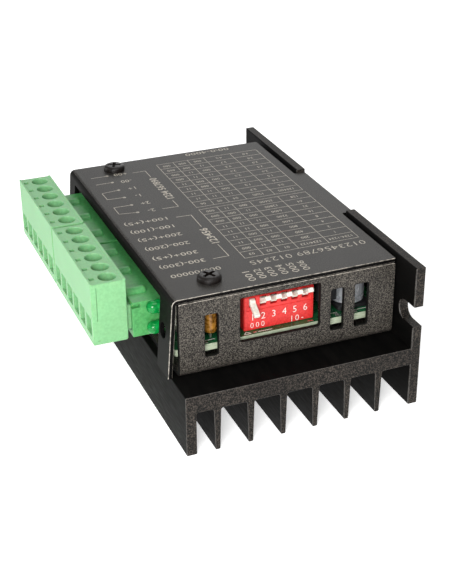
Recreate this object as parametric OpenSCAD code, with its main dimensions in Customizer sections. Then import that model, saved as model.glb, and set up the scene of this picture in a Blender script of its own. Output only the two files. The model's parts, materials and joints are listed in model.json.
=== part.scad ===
// Stepper driver module: a bent sheet housing on a finned heatsink, with two
// pluggable six-way screw terminals, two LEDs and a six-way piano switch.
// X runs across the fins towards the heatsink's wall, Y from the switch end to
// the rear, Z up. The origin is at the bottom centre of the whole module.

/* [Heatsink] */
// Length along the fins
heatsink_l = 96; // [94:1:110]
// Width across the fins
heatsink_w = 56.4; // [56:0.1:60]
// Height of the side wall above the fin tips
heatsink_h = 34.7; // [34.4:0.1:36]
// Height of the base plate's top face
base_top = 14.7; // [14:0.1:14.8]
// Thickness of the base plate
base_t = 4.2; // [3.8:0.1:5]
// Thickness of the side wall and of the outer fins
wall_t = 2.4; // [2:0.1:2.6]
// Spacing of the inner fins
fin_pitch = 7.75; // [7.4:0.05:7.8]
// Distance from the left face to the first inner fin's centre
first_fin_x = 7.25; // [6.5:0.05:7.6]
// Thickness of an inner fin where it meets the base
fin_root_t = 1.7; // [1.4:0.1:2.2]
// Thickness of an inner fin at its tip
fin_tip_t = 1.1; // [0.8:0.1:1.4]
// Width of the screw slots in the side wall
slot_w = 5; // [4:0.1:5.2]
// Height of the screw slots' centre line
slot_z = 22.6; // [21:0.1:24]
// Distance between the centres of the screw slots' round ends
slot_spacing = 88; // [84:1:90]
// Length of the notch in the side wall
notch_l = 28; // [20:1:34]

/* [Housing] */
// Thickness of the sheet
sheet_t = 1; // [0.8:0.1:1]
// Height of the cover's top face
cover_top = 34; // [33.8:0.1:34.2]
// Distance from the heatsink's front face to the front panel
panel_y = 7.8; // [7:0.1:9]
// Length of the housing
housing_l = 79; // [78:0.5:80]
// Inside radius of the chassis's bends
bend_r = 1; // [0.6:0.1:1.4]
// Outward lean of the cover's left flange, in degrees
flange_lean = 4.5; // [0:0.5:4.5]

/* [Board and switch] */
// Height of the circuit board's top face
board_top = 21.15; // [21:0.05:21.3]
// Thickness of the circuit board
board_t = 1.6; // [1.4:0.1:1.7]
// Spacing of the switch levers
lever_pitch = 2.54; // [2.5:0.01:2.54]
// Angle of a lowered lever below the horizontal
lever_down = 33; // [20:1:34]
// Angle of a raised lever above the horizontal
lever_up = 31; // [20:1:32]

/* [Terminals] */
// Spacing of the screw terminals
pole_pitch = 5.08; // [5.08:0.01:5.1]
// Height of a plug
plug_h = 14.8; // [14.4:0.1:15]
// Width of a plug's body outside its header
plug_w = 7.9; // [7.8:0.1:8.2]
// Reach of the plug's nose into the header
nose_l = 7.3; // [7:0.1:7.4]
// Radius of a terminal screw's access hole
screw_hole_r = 1.95; // [1.9:0.05:2]

/* [LEDs] */
// Radius of an LED
led_r = 1.5; // [1.4:0.05:1.5]
// Distance from the heatsink's front face to the LEDs' centre line
led_y = 16.55; // [16.4:0.05:16.6]

/* [Hidden] */
$fn = 48;
SIDES = ["power", "signal"];
POLES = [1:6];

cut = 0.5;                            // overshoot of a cutting tool
base_bottom = base_top - base_t;
wall_x = heatsink_w - wall_t;         // inner face of the side wall
floor_top = base_top + sheet_t;
panel_left = 1.6;
panel_right = 53.3;
panel_top = 32.8;
rear_y = panel_y + housing_l;
cover_under = cover_top - sheet_t;
flange_bottom = 15;
cover_bend_r = 0.4;                   // inside radius of the cover's bend
cutout_y = [14.8, 81.9];              // the flange's gap for the LEDs and headers
spare_hole = [12.5, 24.9];            // Y and Z of the hole in the flange
cover_screw_at = [[11.2, 14.2], [11.2, 82.6]];
board_screw_at = [[13, 20], [48.5, 24], [13, 81], [48.5, 81]];
chassis_screw_at = [[10, 30], [46, 30], [10, 72], [46, 72]];
board_bottom = board_top - board_t;
board_left = 1.2;
board_right = 52.6;
board_y = [9.3, 85.3];

switch_x = 26.4;                      // middle of the switch
switch_face_y = 11.1;
switch_w = 6 * lever_pitch + 1.6;
switch_h = 8.35;
switch_pin_y = [12.3, 19.9];
pivot = [11.6, 28];                   // Y and Z of the levers' pivot
lever_l = 3.9;
lever_w = 1.3;
barrel_r = 0.75;

plug_left = -14.2;
plug_right = plug_left + plug_w;
plug_bottom = 21;
plug_top = plug_bottom + plug_h;
plug_l = 6 * pole_pitch + 0.62;
signal_y = 18.2;                      // front end of the signal plug
power_y = 50.2;                       // front end of the power plug
screw_x = -9.6;                       // centre line of the terminal screws
test_hole_x = -13.1;
ledge_z = [30, 30.8];                 // the ledge that carries a screw's head
bar_z = [26.2, 26.8];                 // the fixed contact bar
clamp_bottom = 22.3;
header_left = -5.2;
header_right = 6.8;
header_top = 29.6;
pin_z = 25.4;                         // centre line of a header's pins
pin_w = 1;
mid_x = (plug_left + heatsink_w) / 2;

// Everything below is laid out from the heatsink's left front bottom corner.
module placed() {
    translate([-mid_x, -heatsink_l / 2, 0]) children();
}

// A box given by its lowest and highest corners
module block(low, high) {
    translate(low) cube(high - low);
}

// A rod along X from x0 to x1
module rod_x(r, x0, x1, y, z) {
    translate([x0, y, z]) rotate([0, 90, 0]) cylinder(r = r, h = x1 - x0);
}

// An outline in X and Z, extruded from y0 to y1
module slab_y(y0, y1) {
    translate([0, y1, 0]) rotate([90, 0, 0]) linear_extrude(y1 - y0) children();
}

// ---------- heatsink ----------

module heatsink_outline() {
    translate([0, base_bottom]) square([heatsink_w, base_t]);
    square([wall_t, base_top]);
    translate([wall_x, 0]) square([wall_t, heatsink_h]);
    for (i = [0:5])
        translate([first_fin_x + i * fin_pitch, 0])
            polygon([[-fin_tip_t / 2, 0], [fin_tip_t / 2, 0],
                     [fin_root_t / 2, base_bottom + cut], [-fin_root_t / 2, base_bottom + cut]]);
}

// An open-ended screw slot through the side wall, running out at y_open
module wall_slot(y_end, y_open) {
    rod_x(slot_w / 2, wall_x - cut, heatsink_w + cut, y_end, slot_z);
    block([wall_x - cut, min(y_end, y_open), slot_z - slot_w / 2],
          [heatsink_w + cut, max(y_end, y_open), slot_z + slot_w / 2]);
}

module heatsink() {
    slot_y = (heatsink_l - slot_spacing) / 2;
    notch_y = (heatsink_l - notch_l) / 2;
    color("#1c1c1d") placed() difference() {
        slab_y(0, heatsink_l) heatsink_outline();
        wall_slot(slot_y, -cut);
        wall_slot(heatsink_l - slot_y, heatsink_l + cut);
        block([wall_x - cut, notch_y, cover_under],
              [heatsink_w + cut, notch_y + notch_l, heatsink_h + cut]);
        for (p = chassis_screw_at)
            translate([p.x, p.y, base_bottom + 0.6]) cylinder(r = 1.5, h = base_t);
    }
}

// ---------- housing ----------

// Cross-section of the chassis in Y and Z: floor, two bends, two panels
module chassis_outline() {
    outer_r = bend_r + sheet_t;
    translate([panel_y + outer_r, base_top])
        square([housing_l - 2 * outer_r, sheet_t]);
    for (y = [panel_y, rear_y - sheet_t])
        translate([y, base_top + outer_r])
            square([sheet_t, panel_top - base_top - outer_r]);
    for (end = [[panel_y + outer_r, 180], [rear_y - outer_r, 270]])
        translate([end[0], base_top + outer_r]) intersection() {
            difference() {
                circle(outer_r);
                circle(bend_r);
            }
            rotate(end[1]) square(2 * outer_r);
        }
}

module front_window(x0, x1, z0, z1) {
    block([x0, panel_y - cut, z0], [x1, panel_y + sheet_t + cut, z1]);
}

module chassis() {
    tab_y = [[panel_y, 18.2], [78.6, rear_y]];
    color("#202021") placed() difference() {
        union() {
            translate([panel_left, 0, 0]) rotate([90, 0, 90])
                linear_extrude(panel_right - panel_left) chassis_outline();
            for (y = tab_y)
                block([6.6, y[0], cover_under - sheet_t], [15.8, y[1], cover_under]);
        }
        front_window(7.6, 10.7, 19, 29.1);
        front_window(15.8, 34.8, 20.8, 31.5);
        front_window(37.5, 40.6, 19, 29.2);
        front_window(43.4, 46.7, 18.8, 29.3);
        for (p = cover_screw_at)
            translate([p.x, p.y, panel_top - 2 * sheet_t]) cylinder(r = 1.5, h = 4);
        for (p = chassis_screw_at)
            translate([p.x, p.y, base_top - cut]) cylinder(r = 1.6, h = sheet_t + 2 * cut);
    }
}

// Cross-section of the cover in X and Z: top plate, bend and leaning flange
module cover_outline() {
    outer_r = cover_bend_r + sheet_t;
    bend_x = 0.3 + outer_r;
    flange_l = (cover_top - outer_r - flange_bottom) / cos(flange_lean);
    translate([bend_x, cover_under]) square([panel_right - bend_x, sheet_t]);
    translate([bend_x, cover_top - outer_r]) {
        intersection() {
            difference() {
                circle(outer_r);
                circle(cover_bend_r);
            }
            union() {
                translate([-outer_r, 0]) square(outer_r);
                rotate(180 - flange_lean) mirror([0, 1]) square(outer_r);
            }
        }
        rotate(-flange_lean) translate([-outer_r, -flange_l]) square([sheet_t, flange_l]);
    }
}

module cover() {
    tab_y = [(heatsink_l - notch_l) / 2 + 0.3, (heatsink_l + notch_l) / 2 - 0.3];
    color("#262628") placed() difference() {
        union() {
            slab_y(panel_y, rear_y) cover_outline();
            block([panel_right - cut, tab_y[0], cover_under], [heatsink_w - 0.2, tab_y[1], cover_top]);
        }
        block([-5, cutout_y[0], flange_bottom - 2], [2.2, cutout_y[1], 31.6]);
        rod_x(1.75, -3, 3, spare_hole.x, spare_hole.y);
        for (p = cover_screw_at)
            translate([p.x, p.y, cover_under - cut]) cylinder(r = 1.7, h = sheet_t + 2 * cut);
    }
}

// A pan-head machine screw, head up, standing on its head's underside
module pan_screw(head_r, head_h, shank_r, shank_l) {
    difference() {
        union() {
            cylinder(r = head_r, h = head_h * 0.55);
            translate([0, 0, head_h * 0.55]) cylinder(r1 = head_r, r2 = head_r * 0.7, h = head_h * 0.45);
            translate([0, 0, -shank_l]) cylinder(r = shank_r, h = shank_l);
        }
        for (a = [0, 90])
            rotate(a) translate([-head_r * 0.55, -head_r * 0.1, head_h * 0.5])
                cube([head_r * 1.1, head_r * 0.2, head_h]);
    }
}

module cover_screws() {
    color("#161616") placed()
        for (p = cover_screw_at) translate([p.x, p.y, cover_top]) pan_screw(2.7, 1.7, 1.45, 3.7);
}

module chassis_screws() {
    color("#8d8f92") placed()
        for (p = chassis_screw_at) translate([p.x, p.y, floor_top]) pan_screw(2.6, 1.6, 1.45, 3.8);
}

// ---------- circuit board ----------

module circuit_board() {
    color("#14522f") placed() difference() {
        block([board_left, board_y[0], board_bottom], [board_right, board_y[1], board_top]);
        for (p = board_screw_at)
            translate([p.x, p.y, board_bottom - cut]) cylinder(r = 1.6, h = board_t + 2 * cut);
        for (s = [signal_y, power_y], i = POLES)
            translate([5.3, pole_y(s, i), board_bottom - cut]) cylinder(r = 0.8, h = board_t + 2 * cut);
        for (i = POLES, y = switch_pin_y)
            translate([lever_x(i), y, board_bottom - cut]) cylinder(r = 0.45, h = board_t + 2 * cut);
    }
}

module board_spacers() {
    color("#b9b9bd") placed()
        for (p = board_screw_at)
            translate([p.x, p.y, floor_top]) difference() {
                cylinder(r = 2.6, h = board_bottom - floor_top);
                translate([0, 0, cut]) cylinder(r = 1.5, h = board_bottom - floor_top);
            }
}

module board_screws() {
    color("#b0b2b5") placed()
        for (p = board_screw_at) translate([p.x, p.y, board_top]) pan_screw(2.6, 1.6, 1.45, 4.6);
}

module thermal_pad() {
    color("#c9cdd2") placed() block([12, 52, floor_top], [44, 68, floor_top + 0.5]);
}

module driver_chip() {
    color("#1b1b1e") placed() {
        block([13, 53, floor_top + 0.5], [43, 65, board_bottom - 0.5]);
        for (i = [0:12])
            block([15.6 + i * 2, 64.5, floor_top + 1.4], [16.2 + i * 2, 66.4, floor_top + 2]);
        for (i = [0:12])
            block([15.6 + i * 2, 65.8, floor_top + 1.4], [16.2 + i * 2, 66.4, board_bottom]);
    }
}

// A flat chip package with a row of legs along each long side
module flat_chip(size, legs, leg_pitch) {
    translate([-size.x / 2, -size.y / 2, 0.2]) cube([size.x, size.y, size.z]);
    for (side = [-1, 1], i = [0:legs - 1])
        translate([(i - (legs - 1) / 2) * leg_pitch - 0.2, side * (size.y / 2 + 0.5) - 0.6, 0])
            cube([0.4, 1.2, 0.4]);
}

module optocouplers() {
    color("#2a2a2c") placed()
        for (i = [0:2])
            translate([13, 31 + i * 9.5, board_top]) rotate(90) flat_chip([6, 4.4, 2], 4, 1.27);
}

module logic_chip() {
    color("#1f1f22") placed() translate([29, 36, board_top]) flat_chip([10, 4.6, 1.6], 8, 1.27);
}

module sense_resistors() {
    color("#3a3a3a") placed()
        for (i = [0:1]) block([26 + 9 * i, 72, board_top], [32.4 + 9 * i, 75.2, board_top + 0.9]);
}

module electrolytic_capacitor() {
    color("#c5c7ca") placed() translate([45.3, 15.6, board_top]) {
        translate([-4.1, -4.1, 0]) cube([8.2, 8.2, 1]);
        translate([0, 0, 1]) cylinder(r = 4, h = 9);
    }
}

module film_capacitor() {
    color("#9a5a1c") placed() translate([10.5, 12.2, board_top]) {
        translate([0, 0, 1.2]) cylinder(r = 1.5, h = 7.6);
        cylinder(r = 0.35, h = 2);
    }
}

module voltage_regulator() {
    color("#232325") placed() translate([38.6, 13.5, board_top]) {
        translate([-2.3, -1.6, 3]) cube([4.6, 3.2, 4.8]);
        for (x = [-1.27, 0, 1.27]) translate([x - 0.25, -0.25, 0]) cube([0.5, 0.5, 3.5]);
    }
}

// ---------- LEDs ----------

// An LED facing left at height z, with legs that bend down at bend_x
module side_led(z, bend_x) {
    flange_r = led_r + 0.1;
    placed() {
        rod_x(led_r, -1, 0, led_y, z);
        translate([-1, led_y, z]) rotate([0, -90, 0]) intersection() {
            sphere(r = led_r);
            cylinder(r = 2, h = 2);
        }
        rod_x(flange_r, -0.1, 0.6, led_y, z);
        for (y = [led_y - 0.6, led_y + 0.6]) {
            block([0.5, y - 0.25, z - 0.25], [bend_x + 0.25, y + 0.25, z + 0.25]);
            block([bend_x - 0.25, y - 0.25, board_top], [bend_x + 0.25, y + 0.25, z + 0.25]);
        }
    }
}

module power_led() {
    color("#27b04a") side_led(28.7, 4.4);
}

module alarm_led() {
    color("#27b04a") side_led(23.7, 2.8);
}

// ---------- piano switch ----------

function lever_x(i) = switch_x + (i - 3.5) * lever_pitch;

module switch_body() {
    color("#d32a33") placed() difference() {
        block([switch_x - switch_w / 2, switch_face_y, board_top],
              [switch_x + switch_w / 2, switch_face_y + 9.6, board_top + switch_h]);
        for (i = POLES) {
            block([lever_x(i) - 0.8, switch_face_y - cut, pivot.y - 1.4],
                  [lever_x(i) + 0.8, pivot.x, pivot.y + 1.2]);
            rod_x(barrel_r + 0.1, lever_x(i) - 0.8, lever_x(i) + 0.8, pivot.x, pivot.y);
        }
    }
}

module switch_pins() {
    color("#c9b98a") placed()
        for (i = POLES, y = switch_pin_y)
            block([lever_x(i) - 0.25, y - 0.25, board_top - 3.2], [lever_x(i) + 0.25, y + 0.25, board_top]);
}

// Lever 1 is stored lowered, the others raised.
module switch_lever(i) {
    angle = i == 1 ? lever_down : -lever_up;
    color("#ededea") placed() translate([lever_x(i), pivot.x, pivot.y]) rotate([angle, 0, 0]) {
        rod_x(barrel_r, -0.75, 0.75, 0, 0);
        block([-lever_w / 2, -lever_l, -0.45], [lever_w / 2, 0, 0.45]);
    }
}

// ---------- terminals ----------

function plug_y(side) = side == "signal" ? signal_y : power_y;
function pole_y(y0, i) = y0 + plug_l / 2 + (i - 3.5) * pole_pitch;

module plug(side) {
    y0 = plug_y(side);
    color("#8fdc9c") placed() difference() {
        union() {
            block([plug_left, y0, plug_bottom], [plug_right, y0 + plug_l, plug_top]);
            block([plug_right - cut, y0 + 1.3, 22.65], [plug_right + nose_l, y0 + plug_l - 1.3, 28.55]);
        }
        for (i = POLES) translate([0, pole_y(y0, i), 0]) {
            // access hole, ledge and clamp chamber
            translate([screw_x, 0, ledge_z[1]]) cylinder(r = screw_hole_r, h = 9);
            translate([screw_x, 0, ledge_z[0] - cut]) cylinder(r = 1.35, h = 2);
            block([screw_x - 2.1, -2, clamp_bottom - 0.1], [screw_x + 2.1, 2, ledge_z[0]]);
            // wire entry and contact passage
            block([plug_left - cut, -1.95, 22.9], [screw_x, 1.95, 27.2]);
            block([screw_x, -1.25, 24.3], [plug_right + nose_l + cut, 1.25, bar_z[1]]);
            // test probe hole
            block([test_hole_x - 0.55, -0.55, plug_top - 2.5], [test_hole_x + 0.55, 0.55, plug_top + cut]);
        }
    }
}

// Contact bars, each with two springs that grip a header pin
module contacts(side) {
    color("#c8c9c4") placed()
        for (i = POLES) translate([0, pole_y(plug_y(side), i), 0]) {
            block([screw_x - 2, -1.15, bar_z[0]], [plug_right + 1, 1.15, bar_z[1]]);
            for (s = [-1, 1])
                block([plug_right, s * 0.75 - 0.2, 24.6], [plug_right + nose_l - 0.4, s * 0.75 + 0.2, bar_z[1]]);
        }
}

// Slotted terminal screw, its head on the plug's ledge
module terminal_screw(side, i) {
    color("#b9bcc0") placed() translate([screw_x, pole_y(plug_y(side), i), ledge_z[1]]) difference() {
        union() {
            cylinder(r = 1.8, h = 1.7);
            translate([0, 0, -3.8]) cylinder(r = 1.25, h = 3.9);
        }
        translate([-2, -0.25, 0.8]) cube([4, 0.5, 2]);
    }
}

// Rising clamp: a square frame whose top is threaded on the terminal screw
module clamp(side, i) {
    x = screw_x;
    color("#a9acb0") placed() translate([0, pole_y(plug_y(side), i), 0]) difference() {
        block([x - 1.8, -1.85, clamp_bottom], [x + 1.8, 1.85, 27.9]);
        block([x - 2, -1.4, clamp_bottom + 0.9], [x + 2, 1.4, bar_z[1] + 0.1]);
        translate([x, 0, bar_z[1]]) cylinder(r = 1.3, h = 3);
    }
}

// Right-angle socket on the board, with three raised key tunnels on its roof
module header(side) {
    y0 = plug_y(side);
    y1 = y0 + plug_l;
    tunnel_y = [for (i = [1, 3, 5]) (pole_y(y0, i) + pole_y(y0, i + 1)) / 2];
    color("#4fae66") placed() difference() {
        union() {
            block([header_left, y0, board_top], [3.8, y1, header_top]);
            for (y = tunnel_y) rod_x(1.7, header_left, -0.4, y, 28.9);
            for (y = [y0, y1 - 1.1]) block([3.5, y, board_top], [header_right, y + 1.1, header_top]);
            block([3.5, y0, 28.4], [header_right, y1, header_top]);
        }
        block([header_left - cut, y0 + 1.1, board_top + 1.25], [2.3, y1 - 1.1, 28.75]);
        for (y = tunnel_y) rod_x(1, header_left - cut, -1.2, y, 28.9);
        block([header_left - cut, y0 - cut, 28.2], [-3.4, y1 + cut, header_top - 0.5]);
        for (i = POLES)
            block([2, pole_y(y0, i) - 0.52, pin_z - 0.52], [4, pole_y(y0, i) + 0.52, pin_z + 0.52]);
    }
}

module header_pins(side) {
    color("#d0cfc8") placed()
        for (i = POLES) translate([0, pole_y(plug_y(side), i), 0]) {
            block([-4.2, -pin_w / 2, pin_z - pin_w / 2], [5.8, pin_w / 2, pin_z + pin_w / 2]);
            block([4.8, -pin_w / 2, 17.2], [5.8, pin_w / 2, pin_z]);
        }
}

heatsink();
chassis();
chassis_screws();
cover();
cover_screws();
circuit_board();
board_spacers();
board_screws();
thermal_pad();
driver_chip();
optocouplers();
logic_chip();
sense_resistors();
electrolytic_capacitor();
film_capacitor();
voltage_regulator();
power_led();
alarm_led();
switch_body();
switch_pins();
for (i = POLES)
    switch_lever(i);
for (s = SIDES) {
    plug(s);
    contacts(s);
    header(s);
    header_pins(s);
    for (i = POLES) {
        terminal_screw(s, i);
        clamp(s, i);
    }
}
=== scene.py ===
"""The looks of the stepper driver module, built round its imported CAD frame.

Shapes are made in millimetres, measured from the heatsink's left front bottom corner, and are
then placed in the frame in metres. X runs across the fins, Y from the switch end to the rear.
"""

import json
import math

import bmesh
import bpy
from mathutils import Matrix, Vector

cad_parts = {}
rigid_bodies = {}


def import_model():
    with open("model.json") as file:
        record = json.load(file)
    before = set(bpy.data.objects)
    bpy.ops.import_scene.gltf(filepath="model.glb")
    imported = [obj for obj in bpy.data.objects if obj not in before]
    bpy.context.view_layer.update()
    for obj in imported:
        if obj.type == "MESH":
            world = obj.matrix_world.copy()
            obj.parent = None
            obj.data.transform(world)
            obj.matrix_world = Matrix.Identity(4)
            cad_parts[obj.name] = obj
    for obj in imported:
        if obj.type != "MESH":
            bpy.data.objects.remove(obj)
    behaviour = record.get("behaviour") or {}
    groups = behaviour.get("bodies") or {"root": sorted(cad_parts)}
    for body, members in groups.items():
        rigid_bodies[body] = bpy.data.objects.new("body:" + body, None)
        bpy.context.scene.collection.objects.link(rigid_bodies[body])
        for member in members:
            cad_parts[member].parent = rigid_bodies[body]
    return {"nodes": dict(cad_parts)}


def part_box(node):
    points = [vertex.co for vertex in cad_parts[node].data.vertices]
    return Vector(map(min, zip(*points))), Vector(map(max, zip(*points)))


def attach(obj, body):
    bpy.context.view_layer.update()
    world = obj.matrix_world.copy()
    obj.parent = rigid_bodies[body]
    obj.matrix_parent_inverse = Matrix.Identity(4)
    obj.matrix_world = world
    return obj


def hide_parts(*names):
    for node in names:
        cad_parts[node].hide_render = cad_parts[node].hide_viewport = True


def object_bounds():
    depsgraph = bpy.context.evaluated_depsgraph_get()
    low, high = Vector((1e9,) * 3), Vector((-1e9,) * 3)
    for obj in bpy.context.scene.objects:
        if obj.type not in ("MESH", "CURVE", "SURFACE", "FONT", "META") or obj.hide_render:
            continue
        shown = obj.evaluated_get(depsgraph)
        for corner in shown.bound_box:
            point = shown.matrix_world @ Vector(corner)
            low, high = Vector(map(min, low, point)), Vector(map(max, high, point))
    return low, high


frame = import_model()
cad_box = [list(corner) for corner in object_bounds()]

MM = 0.001
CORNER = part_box("heatsink")[0].copy()
TO_FRAME = Matrix.Translation(CORNER) @ Matrix.Scale(MM, 4)
SIDES = ("power", "signal")
POLES = range(1, 7)
ALONG_X, ALONG_Y, ALONG_Z = Vector((1, 0, 0)), Vector((0, 1, 0)), Vector((0, 0, 1))


def direction(azimuth, elevation):
    """The unit vector that points from the object to a viewpoint, for angles in degrees."""
    a, e = math.radians(azimuth), math.radians(elevation)
    return Vector((math.sin(a) * math.cos(e), -math.cos(a) * math.cos(e), math.sin(e)))


def span(node):
    """Lowest and highest corner of a CAD node, in millimetres from the heatsink's corner."""
    low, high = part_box(node)
    return (low - CORNER) / MM, (high - CORNER) / MM


# ---------- materials ----------

def tint(code):
    """A linear colour from an sRGB code such as 8fdc9c."""
    parts = [int(code[k:k + 2], 16) / 255 for k in (0, 2, 4)]
    return tuple(c / 12.92 if c <= 0.04045 else ((c + 0.055) / 1.055) ** 2.4 for c in parts) + (1.0,)


def finish(name, low, high, rough, grain=0.3, spread=(0.35, 0.65), cloud=0.12, cloud_size=9.0,
           bump=0.004, bump_size=0.25, stretch=(1, 1, 1), **shader):
    """A material with grain between two colours, slow clouds of shade, and its own bump and gloss.

    Sizes are in millimetres. What is left over sets the shader's own sockets.
    """
    made = bpy.data.materials.new(name)
    made.use_nodes = True
    tree = made.node_tree
    tree.nodes.clear()
    link = tree.links.new
    place = tree.nodes.new("ShaderNodeTexCoord")
    scaled = tree.nodes.new("ShaderNodeVectorMath")
    scaled.operation = "MULTIPLY"
    scaled.inputs[1].default_value = stretch
    link(place.outputs["Object"], scaled.inputs[0])

    def noise(size, detail):
        texture = tree.nodes.new("ShaderNodeTexNoise")
        texture.inputs["Scale"].default_value = 1 / (size * MM)
        texture.inputs["Detail"].default_value = detail
        link(scaled.outputs[0], texture.inputs["Vector"])
        return texture.outputs["Fac"]

    def ranged(value, ends, steps=(0.3, 0.7)):
        reach = tree.nodes.new("ShaderNodeMapRange")
        reach.inputs["From Min"].default_value, reach.inputs["From Max"].default_value = steps
        reach.inputs["To Min"].default_value, reach.inputs["To Max"].default_value = ends
        link(value, reach.inputs["Value"])
        return reach.outputs["Result"]

    fine = noise(grain, 4)
    wide = noise(cloud_size, 3)
    ramp = tree.nodes.new("ShaderNodeValToRGB")
    ramp.color_ramp.elements[0].position, ramp.color_ramp.elements[1].position = spread
    ramp.color_ramp.elements[0].color, ramp.color_ramp.elements[1].color = tint(low), tint(high)
    link(fine, ramp.inputs["Fac"])
    shade = tree.nodes.new("ShaderNodeMix")
    shade.data_type, shade.blend_type = "RGBA", "MULTIPLY"
    shade.inputs["Factor"].default_value = 1.0
    link(ramp.outputs["Color"], shade.inputs["A"])
    link(ranged(wide, (1 - cloud, 1 + cloud)), shade.inputs["B"])
    dents = tree.nodes.new("ShaderNodeBump")
    dents.inputs["Distance"].default_value = bump * MM
    link(noise(bump_size, 2), dents.inputs["Height"])
    body = tree.nodes.new("ShaderNodeBsdfPrincipled")
    for socket, value in shader.items():
        body.inputs[socket.replace("_", " ")].default_value = value
    link(shade.outputs["Result"], body.inputs["Base Color"])
    link(ranged(fine, rough), body.inputs["Roughness"])
    link(dents.outputs["Normal"], body.inputs["Normal"])
    out = tree.nodes.new("ShaderNodeOutputMaterial")
    link(body.outputs["BSDF"], out.inputs["Surface"])
    return made


ANODISED = finish("anodised_side", "060606", "0d0c0b", (0.5, 0.65), grain=0.5, cloud=0.2,
                  stretch=(1, 0.12, 1), bump=0.003, Specular_IOR_Level=0.04)
ANODISED_CUT = finish("anodised_cut", "080807", "4a433d", (0.45, 0.62), grain=0.26,
                      spread=(0.46, 0.7), cloud=0.25, bump=0.02, bump_size=0.2, Specular_IOR_Level=0.15)
ANODISED_EDGE = finish("anodised_edge", "1c1a18", "4a4642", (0.3, 0.5), grain=0.4, bump=0.01)
PANEL_COAT = finish("panel_coat", "060606", "6a645c", (0.42, 0.6), grain=0.17,
                    spread=(0.44, 0.68), cloud=0.1, bump=0.04, bump_size=0.2, Specular_IOR_Level=0.2)
PANEL_RIM = finish("panel_rim", "050505", "12110f", (0.5, 0.65), grain=0.3, bump=0.01,
                   Specular_IOR_Level=0.1)
# Light colour for the eased top front edges of the panel and cover: a painted highlight where those edges
# catch the light.
PAINTED_EDGE_HIGHLIGHT = finish("painted_edge_highlight", "35322e", "a39c92", (0.3, 0.45), grain=0.8, spread=(0.3, 0.6),
                   bump=0.006)
COVER_COAT = finish("cover_coat", "090908", "524e49", (0.4, 0.55), grain=0.2, spread=(0.44, 0.7),
                    cloud=0.12, bump=0.035, bump_size=0.2, Specular_IOR_Level=0.3)
# A darker, duller copy of the cover coat for the flange's left-facing outer face: painted shade.
FLANGE_PAINTED_SHADE = finish("flange_painted_shade", "080808", "22211f", (0.5, 0.65), grain=0.2, spread=(0.4, 0.7),
                     bump=0.01, Specular_IOR_Level=0.05)
COVER_RIM = finish("cover_rim", "040404", "0c0b0b", (0.5, 0.65), grain=0.3, bump=0.01,
                   Specular_IOR_Level=0.05)
INK = finish("ink", "857e73", "b9b2a4", (0.5, 0.65), grain=0.35, spread=(0.3, 0.6), bump=0.002)
BLACK_STEEL = finish("black_steel", "060505", "1c1613", (0.3, 0.45), grain=0.25, bump=0.01,
                     Specular_IOR_Level=0.35)
ZINC = finish("zinc", "8f9296", "c4c7cb", (0.25, 0.42), grain=0.3, bump=0.004, Metallic=1.0)
TINNED = finish("tinned", "b5b2a6", "dedbd0", (0.2, 0.35), grain=0.3, bump=0.003, Metallic=1.0)
PLUG_GREEN = finish("plug_green", "6ea571", "78b07b", (0.4, 0.54), grain=0.6, cloud=0.03,
                    bump=0.004, bump_size=0.5, Subsurface_Weight=0.1, Subsurface_Scale=0.001)
HEADER_GREEN = finish("header_green", "3c8848", "4f9c58", (0.36, 0.5), grain=0.6, cloud=0.06,
                      bump=0.006, bump_size=0.5, Subsurface_Weight=0.1, Subsurface_Scale=0.001)
# The faint green emission is a painted glow that stands in for the lens's bright green highlights.
LED_GREEN = finish("led_green", "047030", "0c9242", (0.08, 0.16), grain=1.0, bump=0.002,
                   Transmission_Weight=0.25, Specular_IOR_Level=0.3,
                   Emission_Color=tint("0aa03c"), Emission_Strength=0.06)
SWITCH_RED = finish("switch_red", "c02322", "d63430", (0.36, 0.5), grain=0.5, cloud=0.05,
                    bump=0.006, bump_size=0.4, Subsurface_Weight=0.08, Subsurface_Scale=0.001)
LEVER_WHITE = finish("lever_white", "cfc9bd", "e6e1d6", (0.35, 0.5), grain=0.5, cloud=0.05,
                     bump=0.004, Subsurface_Weight=0.1, Subsurface_Scale=0.001)
SWITCH_PRINT = finish("switch_print", "d8cfc8", "ece6e0", (0.5, 0.6))
BOARD_GREEN = finish("board_green", "0a3f24", "155a32", (0.22, 0.36), grain=1.6, cloud=0.15,
                     bump=0.01, bump_size=0.7)
BOARD_EDGE = finish("board_edge", "7e8a72", "aab39c", (0.6, 0.8), grain=0.2, stretch=(0.2, 0.2, 3),
                    bump=0.01)
CHIP_BLACK = finish("chip_black", "0c0c0d", "19191b", (0.45, 0.6), grain=0.2, bump=0.008)
PAD_GREY = finish("pad_grey", "8e9297", "a9adb2", (0.7, 0.85), grain=0.3, bump=0.01)
CAN = finish("capacitor_can", "b9bcc2", "e3e6ea", (0.16, 0.3), grain=0.8, stretch=(1, 1, 0.2),
             bump=0.002, Metallic=0.6)
BROWN = finish("capacitor_brown", "5a3a12", "a8752a", (0.2, 0.35), grain=0.9, bump=0.01)
FLOOR_PALE = finish("floor_pale", "f4f4f3", "fafaf9", (0.7, 0.8), grain=4.0, cloud=0.01,
                    cloud_size=80.0, bump=0.002, Specular_IOR_Level=0.0,
                    Emission_Color=(1, 1, 1, 1), Emission_Strength=0.5)


# ---------- mesh tools ----------

def mesh_of(bm):
    """The finished mesh of a bmesh, with its faces turned outward."""
    bmesh.ops.recalc_face_normals(bm, faces=bm.faces)
    mesh = bpy.data.meshes.new("shape")
    bm.to_mesh(mesh)
    bm.free()
    return mesh


def joined(meshes):
    """One mesh that holds all of these, which don't overlap."""
    bm = bmesh.new()
    for mesh in meshes:
        bm.from_mesh(mesh)
    return mesh_of(bm)


def moved(mesh, matrix):
    mesh.transform(matrix)
    return mesh


def axes(origin, u, v):
    """The matrix that lays a shape's first axis along u, its second along v, and puts it at origin."""
    turn = Matrix((u, v, u.cross(v))).transposed().to_4x4()
    return Matrix.Translation(origin) @ turn


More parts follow.
